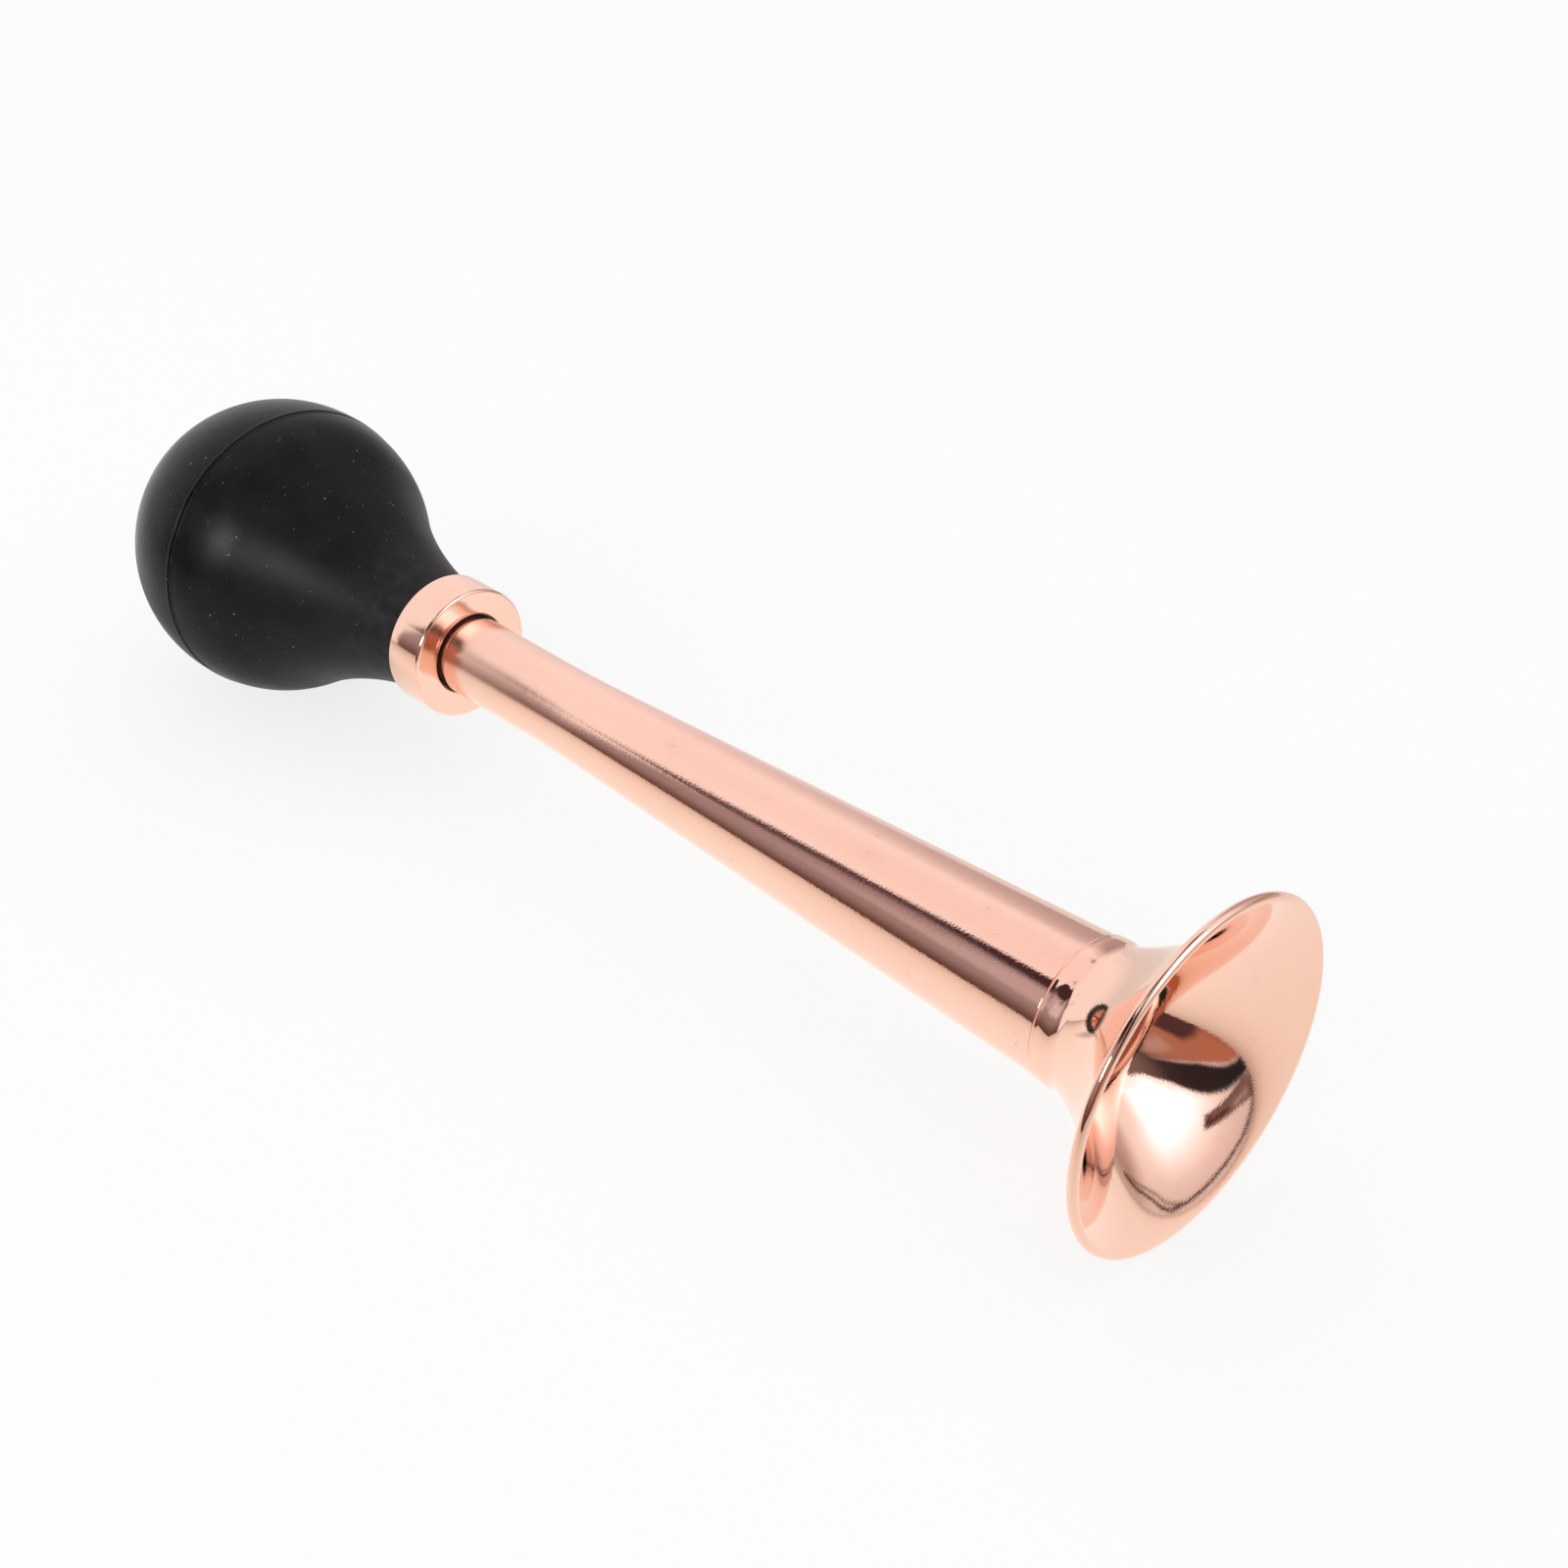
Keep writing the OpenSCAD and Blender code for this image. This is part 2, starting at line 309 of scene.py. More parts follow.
# sizes of bumps are in microns, and their counts are for each millimetre
copper = {"colour": (0.955, 0.625, 0.505), "deep": (0.95, 0.605, 0.485), "mark": (0.30, 0.13, 0.08),
          "deepPerMm": 0.04, "hazePerMm": 0.1, "haze": 0.03, "drawPerMm": 2.2, "swellPerMm": 0.14,
          "peelPerMm": 3.4, "scratchedPerMm": 0.22, "pitsPerMm": 0.3, "pitSize": 0.04, "pitDark": 0.8,
          "scratchDark": 0.3, "markRough": 0.2, "markDepth": -1.5, "wornRough": 0.24, "wornBehind": 4,
          "wornAhead": 14}


def copperPlate(name, look):
    finish = newFinish(name)
    place = finish.place()
    x, y, z = finish.parts(place)
    radius = (y * y + z * z) ** 0.5
    onRings = finish.add("ShaderNodeCombineXYZ", sockets={"X": x, "Y": radius})
    rings = finish.cloud(onRings, look["ringsPerMm"], 2)
    drawn = finish.cloud(finish.place((look["drawStretch"], 1, 1)), look["drawPerMm"], 2)
    scratched = finish.cloud(place, look["scratchedPerMm"], 2)
    lines = finish.hairlines(place, (0.4, 0.7, 0.5)) + finish.hairlines(place, (-0.5, 0.3, -1.1))
    scratches = lines.capped() * finish.spread(scratched, look["scratchAbove"], look["scratchAbove"] + 0.05)
    pits = finish.specks(place, look["pitsPerMm"], look["pitShare"], look["pitSize"])
    marks = (pits * look["pitDark"] + scratches * look["scratchDark"]).capped()

    deepShare = finish.spread(finish.cloud(place, look["deepPerMm"], 4), 0.35, 0.7)
    colour = finish.tinted(marks, finish.tinted(deepShare, look["colour"], look["deep"]), look["mark"])
    haze = finish.spread(finish.cloud(place, look["hazePerMm"], 3), 0.4, 0.75, 0.0, look["haze"])
    # worn dull near the hand
    worn = finish.spread(x, along["seatRear"] - look["wornBehind"], along["seatFront"] + look["wornAhead"],
                         1.0, 0.0)
    rough = haze + worn * look["wornRough"] + look["rough"] + marks * look["markRough"]
    metallic = 1.0
    if "boreRough" in look:
        # the bore is as drawn, neither polished nor plated
        outside = finish.spread(x, along["seatFront"], along["lap"], tube["seatR"], tube["bigR"])
        bore = finish.spread(radius - outside, *look["boreFrom"], 1.0, 0.0)
        rough = rough + bore * look["boreRough"]
        metallic = 1.0 - bore * look["boreDull"]
    normal = finish.bump(finish.cloud(place, look["swellPerMm"], 1), look["swell"])
    normal = finish.bump(rings, look["rings"], normal)
    normal = finish.bump(drawn, look["drawn"], normal)
    normal = finish.bump(finish.cloud(place, look["peelPerMm"], 2), look["peel"], normal)
    normal = finish.bump(marks, look["markDepth"], normal)
    return finish.principled(Base_Color=colour, Metallic=metallic, Roughness=rough, Normal=normal)


# bell: a spun sheet with a sleeve, a flare and a bead curled back round the mouth

bell = {
    "sleeveLength": 3.4, "sleeveR": 10.6, "sheet": 0.5, "lip": 0.6, "lipOuter": 0.16, "lipInner": 0.1,
    "crown": 0.06, "crease": 4.0, "creaseShift": 0.2, "mouthR": 25.0, "bead": 0.75, "curlTurn": 265,
    "startAngle": 24.5, "mouthAngle": 62,
    "look": {**copper, "rough": 0.04, "ringsPerMm": 1.6, "rings": 1.0, "drawStretch": 1.0, "drawn": 0.2,
             "peel": 4.0, "swell": 8.0, "pitShare": 0.05, "scratchAbove": 0.64},
}


def bellMiddle(dims):
    # the sheet's middle line as (x, r, angle), from the sleeve's crease to the bead
    half = dims["sheet"] / 2
    start, mouth = math.radians(dims["startAngle"]), math.radians(dims["mouthAngle"])
    creaseX = along["lap"] + dims["sleeveLength"] + dims["creaseShift"]
    levelR = dims["sleeveR"] - half
    reach = dims["crease"] * math.tan(start / 2)
    line = []
    for i in range(9):
        a = start * i / 8
        x = creaseX - reach + dims["crease"] * math.sin(a)
        line.append((x, levelR + dims["crease"] * (1 - math.cos(a)), a))
    first = Vector(line[-1][:2])
    curl = Vector((along["mouth"] - dims["bead"], dims["mouthR"] - dims["bead"]))
    last = curl + (dims["bead"] - half) * Vector((math.sin(mouth), -math.cos(mouth)))
    leave, arrive = Vector((math.cos(start), math.sin(start))), Vector((math.cos(mouth), math.sin(mouth)))
    bend = first + leave * (last - first).cross(arrive) / leave.cross(arrive)
    for i in range(1, 65):
        t = i / 64
        p = first * (1 - t) ** 2 + bend * 2 * t * (1 - t) + last * t * t
        way = (bend - first) * (1 - t) + (last - bend) * t
        line.append((p.x, p.y, math.atan2(way.y, way.x)))
    return line, curl


def bellPath(dims):
    line, curl = bellMiddle(dims)
    half = dims["sheet"] / 2
    outside = [(x - half * math.sin(a), r + half * math.cos(a)) for x, r, a in line]
    inside = [(x + half * math.sin(a), r - half * math.cos(a)) for x, r, a in line]
    start = dims["mouthAngle"] - 90
    end = start + dims["curlTurn"]
    lapX, bore = along["lap"], dims["sleeveR"] - dims["sheet"]
    lipX = lapX + dims["lip"]
    lip = rounded([(lipX, dims["sleeveR"], 0), (lapX, dims["sleeveR"], dims["lipOuter"]),
                   (lapX, bore, dims["lipInner"]), (lipX, bore, 0)])
    sleeve = []
    for i in range(11, 0, -1):
        crown = dims["crown"] * math.sin(math.pi * i / 12)
        sleeve.append((lipX + (line[0][0] - lipX) * i / 12, dims["sleeveR"] + crown))
    return (lip + inside[:-1] + arcPath(*curl, dims["bead"], start, end, 64)
            + arcPath(*curl, dims["bead"] - dims["sheet"], end, start, 40) + outside[-2::-1] + sleeve)


dress(spin("spunBell", graded(bellPath(bell), 0.4), 360), copperPlate("bellCopper", bell["look"]), ["bell"],
      "horn")


# tube: spigot, straight seat, long taper, and the end drawn in under the bell's sleeve

tube = {
    "spigotR": 6.0, "boreR": 5.4, "seatR": 6.3, "bigR": 10.35, "drawnR": 10.08, "wall": 0.6, "fit": 0.02,
    "lapLength": 2.9, "softStart": 300,
    "look": {**copper, "rough": 0.04, "ringsPerMm": 0.5, "rings": 0.5, "drawStretch": 0.03, "drawn": 0.8,
             "peel": 8.0, "swell": 8.0, "pitShare": 0.07, "scratchAbove": 0.56, "boreRough": 0.45,
             "boreDull": 0.4, "boreFrom": (-0.52, -0.42)},
}


def tubePath(dims):
    shoulder = dims["seatR"] - dims["spigotR"]
    drawnX = along["lap"] - dims["fit"]
    bigX = drawnX - (dims["bigR"] - dims["drawnR"])
    end, wall = along["lap"] + dims["lapLength"], dims["wall"]
    # the taper sets in on a long soft curve
    return rounded([
        (along["tubeEnd"], dims["boreR"], 0.1), (along["tubeEnd"], dims["spigotR"], 0.15),
        (along["seatRear"] - shoulder, dims["spigotR"], 0.3), (along["seatRear"], dims["seatR"], 0.3),
        (along["seatFront"], dims["seatR"], dims["softStart"]), (bigX, dims["bigR"], 0.12),
        (drawnX, dims["drawnR"], 0.08),
        (end, dims["drawnR"], 0.1), (end, dims["drawnR"] - wall, 0.1), (drawnX, dims["drawnR"] - wall, 0.3),
        (bigX, dims["bigR"] - wall, 0.3), (along["seatFront"], dims["seatR"] - wall, dims["softStart"] / 3),
        (along["seatRear"], dims["seatR"] - wall, 0.3), (along["seatRear"] - shoulder, dims["boreR"], 0.3),
    ])


dress(spin("taperedTube", graded(tubePath(tube), 2.0)), copperPlate("tubeCopper", tube["look"]),
      ["horn_tube"], "horn")


# collar: drawn cup over the end of the rubber neck

collar = {
    "outerR": 10.65, "wall": 0.8, "holeR": 6.55, "faceEdge": 0.75, "holeEdge": 0.3,
    "widestX": -17.2, "rearDrop": 0.08, "frontDrop": 0.07, "dish": 0.03,
    "look": {**copper, "rough": 0.08, "wornRough": 0.0, "ringsPerMm": 1.5, "rings": 0.8, "drawStretch": 1.0,
             "drawn": 0.2, "peel": 4.0, "swell": 6.0, "pitShare": 0.05, "scratchAbove": 0.6},
}


def collarPath(dims):
    # the side is a little barrelled and the face is not quite flat
    rear, face, inner = along["collarRear"], along["collarFace"], dims["outerR"] - dims["wall"]
    side = []
    for i in range(1, 14):
        x = rear + (face - dims["faceEdge"] - rear) * i / 14
        drop, end = (dims["rearDrop"], rear) if x < dims["widestX"] else (dims["frontDrop"], face)
        side.append((x, dims["outerR"] - drop * ((x - dims["widestX"]) / (end - dims["widestX"])) ** 2, 0))
    flatOuter, flatInner = dims["outerR"] - dims["faceEdge"], dims["holeR"] + dims["holeEdge"]
    front = []
    for i in range(1, 8):
        t = i / 8
        r = flatOuter + (flatInner - flatOuter) * t
        front.append((face - dims["dish"] * math.sin(math.pi * t), r, 0))
    return rounded([
        (rear, dims["outerR"] - dims["rearDrop"], 0.2), *side,
        (face, dims["outerR"] - dims["frontDrop"], dims["faceEdge"]), *front,
        (face, dims["holeR"], dims["holeEdge"]), (along["bushFront"], dims["holeR"], 0.1),
        (along["bushFront"], inner, 0.3), (rear, inner, 0.2),
    ], 10)


dress(spin("drawnCollar", graded(collarPath(collar), 0.6)), copperPlate("collarCopper", collar["look"]),
      ["collar"], "bulb")


# bulb: one hollow rubber moulding from the rear end to the neck under the collar

bulb = {
    "radius": 24.4, "wall": 2.4, "neckR": 9.1, "neckSlope": 8.5, "beadInset": 0.9, "neckInCollarR": 9.83,
    "bushR": 8.02, "seamDegrees": 3.5, "seamDepth": 0.34, "seamHalf": 0.13, "lipHeight": 0.06,
    "lipAway": 0.42, "lipHalf": 0.2, "wobble": 0.10, "wobbleFrom": -22.0, "wobbleFull": -35.0,
    # dust is given as cells for each millimetre, the share of them with a speck, and its size
    "look": {"colour": (0.0048, 0.0049, 0.0051), "bloom": (0.0095, 0.0095, 0.0097),
             "speck": (0.55, 0.54, 0.53), "coarseDust": (0.5, 0.3, 0.06), "fineDust": (1.2, 0.16, 0.10),
             "rough": 0.25, "roughMore": 0.08, "specular": 0.14, "grain": 9.0, "mottle": 30.0,
             "dustDepth": 20.0, "neckDull": 0.16, "dullNeck": (-57.0, -46.0),
             # next to the collar the neck is painted lighter: dust, and a painted sheen in place of the
             # highlight there
             "neckDustAndSheen": (0.020, 0.020, 0.020), "dustAndSheenNeck": (-36.0, -25.0)},
}


def ballAndNeck(ball, neck, reach, slope, start, steps):
    # from an angle on the ball, over a hollow arc, to the neck at reach, where its side still slopes
    lean = math.radians(slope)
    across = ball - reach * math.sin(lean) - neck * math.cos(lean)
    hollow = (reach ** 2 + neck ** 2 - ball ** 2) / (2 * across)
    x, r = reach + hollow * math.sin(lean), neck + hollow * math.cos(lean)
    turn = math.degrees(math.atan2(r, x))
    return (arcPath(along["bulbMiddle"], 0, ball, start, turn, steps)
            + arcPath(along["bulbMiddle"] + x, r, hollow, turn + 180, 270 - slope, 28)[1:])


def seamLift(dims, x, r):
    # a narrow groove with a low lip on each side
    seamR = math.sqrt(dims["radius"] ** 2 - (along["seam"] - along["bulbMiddle"]) ** 2)
    away = math.dist((x, r), (along["seam"], seamR))
    groove = dims["seamDepth"] * math.exp(-(away / dims["seamHalf"]) ** 2)
    lip = dims["lipHeight"] * math.exp(-((away - dims["lipAway"]) / dims["lipHalf"]) ** 2)
    return lip - groove


def bulbPath(dims):
    middle, radius = along["bulbMiddle"], dims["radius"]
    seamAngle = math.degrees(math.acos((along["seam"] - middle) / radius))
    behind, ahead = seamAngle + dims["seamDegrees"], seamAngle - dims["seamDegrees"]
    rear = arcPath(middle, 0, radius, 180, behind, 40)
    front = ballAndNeck(radius, dims["neckR"], along["collarRear"] - middle, dims["neckSlope"], ahead, 32)
    near = []
    for x, r in arcPath(middle, 0, radius, behind, ahead, 60)[1:-1]:
        raised = 1 + seamLift(dims, x, r) / radius
        near.append((middle + (x - middle) * raised, r * raised))
    neck = rounded([
        (along["collarRear"], dims["neckR"], 0),
        (along["collarRear"] + dims["beadInset"], dims["neckInCollarR"], 0.4),
        (along["neckEnd"], dims["neckInCollarR"], 0.2), (along["neckEnd"], dims["bushR"], 0.2),
        (along["bushRear"], dims["bushR"], 0),
    ])[1:]
    inner = ballAndNeck(radius - dims["wall"], dims["bushR"], along["bushRear"] - middle, 0, 180, 48)[::-1]
    return rear[:1] + graded((rear + near + front + neck + inner[1:])[1:-1], 0.8, 0.05, False) + inner[-1:]


def bulbWobble(place):
    # a hand-sized moulding is never quite round
    share = smoothStep(bulb["wobbleFrom"], bulb["wobbleFull"], place.x * 1000) * bulb["wobble"] / 1000
    return place + place.normalized() * noise.noise(place * 45) * share


def moulded(name, look):
    finish = newFinish(name)
    place = finish.place()
    x = finish.parts(place)[0]
    clouds = finish.cloud(place, 0.12, 4, 0.6)
    dusty = finish.spread(finish.cloud(place, 0.07, 2), 0.4, 0.65, 0.35, 1.0)
    fine = finish.specks(place, *look["fineDust"]) * dusty
    dust = (finish.specks(place, *look["coarseDust"]) + fine).capped()
    scuffs = finish.hairlines(place, (0.3, -0.8, 0.9), 0.005)
    scuffs = scuffs * finish.spread(finish.cloud(place, 0.3, 2), 0.6, 0.66)
    lint = finish.hairlines(finish.stretched(place, (8, 1, 1)), (1.2, 0.4, 0.2), 0.004)
    lint = lint * finish.spread(finish.cloud(place, 0.8, 1), 0.7, 0.74)
    colour = finish.tinted(finish.spread(clouds, 0.35, 0.8), look["colour"], look["bloom"])
    colour = finish.tinted((dust * 0.8 + scuffs * 0.12 + lint * 0.3).capped(), colour, look["speck"])
    # duller along the neck, and lighter next to the collar: partly dust, partly a painted sheen where the
    # neck's highlight falls
    patchyDustAndSheen = finish.spread(finish.cloud(place, 0.5, 4), 0.35, 0.7, 0.3, 1.0)
    colour = finish.tinted(finish.spread(x, *look["dustAndSheenNeck"]) * patchyDustAndSheen, colour, look["neckDustAndSheen"])
    rough = finish.spread(clouds, 0.3, 0.75, look["rough"], look["rough"] + look["roughMore"])
    rough = rough + finish.spread(x, *look["dullNeck"], 0.0, look["neckDull"])
    normal = finish.bump(finish.cloud(place, 0.55, 2), look["mottle"])
    normal = finish.bump(finish.cloud(place, 3.2, 3, 0.6), look["grain"], normal)
    normal = finish.bump(dust, look["dustDepth"], normal)
    return finish.principled(Base_Color=colour, Roughness=rough, Normal=normal,
                             Specular_IOR_Level=look["specular"])


bulbPiece = spin("rubberBulb", bulbPath(bulb), 224, False, bulbWobble)
dress(bulbPiece, moulded("bulbRubber", bulb["look"]), ["bulb_front", "bulb_rear"])
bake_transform(bulbPiece)


# bush: black plastic sleeve inside the rubber neck, grooved to grip it

bush = {
    "flangeR": 9.83, "outerR": 8.0, "boreR": 6.03, "throatR": 5.0, "stepBehindPlug": 0.1, "grooves": 3,
    "groove": 0.5,
    "look": {"colour": (0.010, 0.010, 0.011), "worn": (0.030, 0.030, 0.032), "rough": 0.32},
}


def bushPath(dims):
    pitch = (along["neckEnd"] - along["bushRear"]) / (dims["grooves"] + 1)
    teeth = []
    for i in range(1, dims["grooves"] + 1):
        low = along["neckEnd"] - i * pitch
        teeth += [(low + pitch / 2, dims["outerR"], 0.3), (low, dims["outerR"] - dims["groove"], 0.12),
                  (low, dims["outerR"], 0.12)]
    step = along["plugRear"] - dims["stepBehindPlug"]
    return rounded([
        (along["bushFront"], dims["boreR"], 0.25), (along["bushFront"], dims["flangeR"], 0.2),
        (along["neckEnd"], dims["flangeR"], 0.15), (along["neckEnd"], dims["outerR"], 0.2), *teeth,
        (along["bushRear"], dims["outerR"], 0.5), (along["bushRear"], dims["throatR"], 0.3),
        (step, dims["throatR"], 0.15), (step, dims["boreR"], 0.1),
    ])


def mouldedPlastic(name, look):
    finish = newFinish(name)
    place = finish.place()
    flow = finish.cloud(finish.place((0.25, 1, 1)), 0.5, 3)
    rubbed = finish.spread(finish.cloud(place, 0.6, 4, 0.65), 0.55, 0.75)
    colour = finish.tinted(rubbed, look["colour"], look["worn"])
    rough = finish.spread(flow, 0.3, 0.7, look["rough"], look["rough"] + 0.14)
    normal = finish.bump(flow, 14.0)
    normal = finish.bump(finish.cloud(place, 6.0, 2), 2.5, normal)
    return finish.principled(Base_Color=colour, Roughness=rough, Normal=normal)


dress(spin("grippingBush", graded(bushPath(bush), 1.0), 160), mouldedPlastic("bushPlastic", bush["look"]),
      ["neck_bush"], "bulb")


# reed: brass plug, half-round trough, thin bronze tongue and the wedge that clamps it

reed = {
    "plugR": 5.38, "flangeR": 5.98, "holeR": 3.62, "softEdge": 0.08, "tongueEdge": 0.03,
    # stretch tells how the tool marks run: along X, Y and Z, or in rings round the axis where it is None
    "plug": {"colour": (0.80, 0.60, 0.29), "deep": (0.66, 0.44, 0.19), "rough": 0.20, "marks": 2.0,
             "stretch": None, "marksPerMm": 7.0},
    "shallot": {"colour": (0.78, 0.58, 0.28), "deep": (0.60, 0.40, 0.17), "rough": 0.26, "marks": 1.6,
                "stretch": (0.06, 1, 1), "marksPerMm": 6.0},
    "tongue": {"colour": (0.80, 0.52, 0.31), "deep": (0.66, 0.38, 0.22), "rough": 0.22, "marks": 0.9,
               "stretch": (0.03, 1, 1), "marksPerMm": 9.0},
    "wedge": {"colour": (0.72, 0.55, 0.28), "deep": (0.50, 0.35, 0.16), "rough": 0.34, "marks": 4.0,
              "stretch": (1, 0.08, 1), "marksPerMm": 5.0},
}


def toolMarked(name, look):
    # brass or bronze with the marks of a lathe, of rolling or of a file, and a little tarnish
    finish = newFinish(name)
    place = finish.place(look["stretch"] or (1, 1, 1))
    if not look["stretch"]:
        x, y, z = finish.parts(place)
        place = finish.add("ShaderNodeCombineXYZ", sockets={"X": x, "Y": (y * y + z * z) ** 0.5})
    marks = finish.cloud(place, look["marksPerMm"], 2)
    tarnish = finish.spread(finish.cloud(finish.place(), 0.35, 4, 0.6), 0.42, 0.72)
    colour = finish.tinted(tarnish, look["colour"], look["deep"])
    rough = tarnish * 0.12 + marks * 0.10 + look["rough"]
    normal = finish.bump(finish.cloud(finish.place(), 0.9, 2), 6.0)
    normal = finish.bump(marks, look["marks"], normal)
    return finish.principled(Base_Color=colour, Metallic=1.0, Roughness=rough, Normal=normal)


plugPath = graded(rounded([
    (along["plugFront"], reed["holeR"], 0.15), (along["plugFront"], reed["plugR"], 0.25),
    (along["tubeEnd"], reed["plugR"], 0.08), (along["tubeEnd"], reed["flangeR"], 0.12),
    (along["plugRear"], reed["flangeR"], 0.25), (along["plugRear"], reed["holeR"], 0.12),
]), 0.6)
dress(spin("turnedPlug", plugPath, 128), toolMarked("plugBrass", reed["plug"]),
      ["reed_plug"], "horn")
dress(softened("reedTrough", "reed_shallot", reed["softEdge"]), toolMarked("troughBrass", reed["shallot"]),
      ["reed_shallot"], "horn")
dress(softened("bronzeTongue", "reed_tongue", reed["tongueEdge"]), toolMarked("tongueBronze", reed["tongue"]),
      ["reed_tongue"], "tongue")
dress(softened("filedWedge", "reed_wedge", reed["softEdge"]), toolMarked("wedgeBrass", reed["wedge"]),
      ["reed_wedge"], "horn")


# stage: table, lamps, world and camera

stage = {
    "tableZ": -0.0251, "tableHalf": 6.0, "tableColour": (0.93, 0.93, 0.93), "tableGlow": 0.8,
    # how reflections see the table: its fade to cream, how much darker it is in three places, and its edge
    "tableMirror": 1.0, "tableFade": 0.3, "fadeX": 0.12, "fadeShare": 0.9,
    "tableBehind": 0.25, "behindY": (0.03, 0.09), "behindX": (0.11, 0.15),
    "tableBefore": 0.06, "beforeX": (0.115, 0.14),
    "tableShade": 0.45, "shadeX": -0.085, "shadeR": (0.03, 0.055),
    "paperSlant": 0.29, "paperEdge": -0.212, "paperSoft": 0.012,
    "tableMirrored": [(0.0, (1.09, 1.08, 1.05)), (0.14, (1.02, 1.00, 0.95)), (0.23, (0.97, 0.92, 0.87)),
                      (0.37, (0.88, 0.81, 0.74)), (0.52, (0.77, 0.69, 0.62)), (0.80, (0.62, 0.54, 0.47)),
                      (1.0, (0.56, 0.48, 0.42))],
    "sky": 0.80, "keyFrom": (0.048, -0.888, 0.458), "keyAway": 0.9, "keySize": 0.30, "keyPower": 1.3,
    "topPlace": (0.0, 0.1, 1.1), "topSize": 1.2, "topPower": 1.6,
    "cameraAt": (242.53, -186.77, 189.81), "lens": 53.67,
    "cameraRight": (0.70839855, 0.70581265, 0.0), "cameraUp": (-0.39952956, 0.40099332, 0.82436672),
    "cameraBack": (0.58184845, -0.58398019, 0.5660561),
}


def makeTable(dims):
    half, z = dims["tableHalf"], dims["tableZ"]
    mesh = bpy.data.meshes.new("table")
    corners = [(-half, -half, z), (half, -half, z), (half, half, z), (-half, half, z)]
    mesh.from_pydata(corners, [], [(0, 1, 2, 3)])
    finish = newFinish("tablePaper")
    shader = finish.add("ShaderNodeBsdfDiffuse", sockets={"Color": dims["tableColour"]})
    # in reflections the paper fades to cream towards the camera and ends there along a slanting edge, past
    # which the surround is seen
    x, y, _ = finish.parts(finish.add("ShaderNodeNewGeometry", output="Position"))
    away = finish.maths("MAXIMUM", y * -1.0) + finish.maths("MAXIMUM", x - dims["fadeX"]) * dims["fadeShare"]
    mirrored = finish.add("ShaderNodeValToRGB", {"stops": dims["tableMirrored"]},
                          {"Fac": away * (1 / dims["tableFade"])})
    # it is a little darker far behind the horn, before the mouth and in the bulb's shade
    behind = finish.spread(y, *dims["behindY"], 0.0, dims["tableBehind"])
    behind = behind * finish.spread(x, *dims["behindX"], 1.0, 0.0)
    before = finish.spread(x, *dims["beforeX"], 0.0, dims["tableBefore"])
    bulbX = x - dims["shadeX"]
    fromBulb = (bulbX * bulbX + y * y) ** 0.5
    shade = behind + before + finish.spread(fromBulb, *dims["shadeR"], dims["tableShade"], 0.0)
    camera, mirror = finish.rays("Is Camera Ray"), finish.rays("Is Glossy Ray")
    glow = finish.add("ShaderNodeEmission", sockets={"Color": finish.tinted(mirror, (1, 1, 1), mirrored),
                                                     "Strength": 1.0 - mirror * shade})
    share = camera * dims["tableGlow"] + mirror * dims["tableMirror"]
    paper = finish.add("ShaderNodeMixShader", sockets={0: share, 1: shader, 2: glow})
    edge = y - x * dims["paperSlant"] - dims["paperEdge"]
    past = finish.spread(edge, -dims["paperSoft"], dims["paperSoft"], 1.0, 0.0) * mirror
    clear = finish.add("ShaderNodeBsdfTransparent")
    mixed = finish.add("ShaderNodeMixShader", sockets={0: past, 1: paper, 2: clear})
    finish.tree.links.new(mixed.socket, finish.tree.nodes["Material Output"].inputs["Surface"])
    mesh.materials.append(finish.owner)
    table = shown("table", mesh)


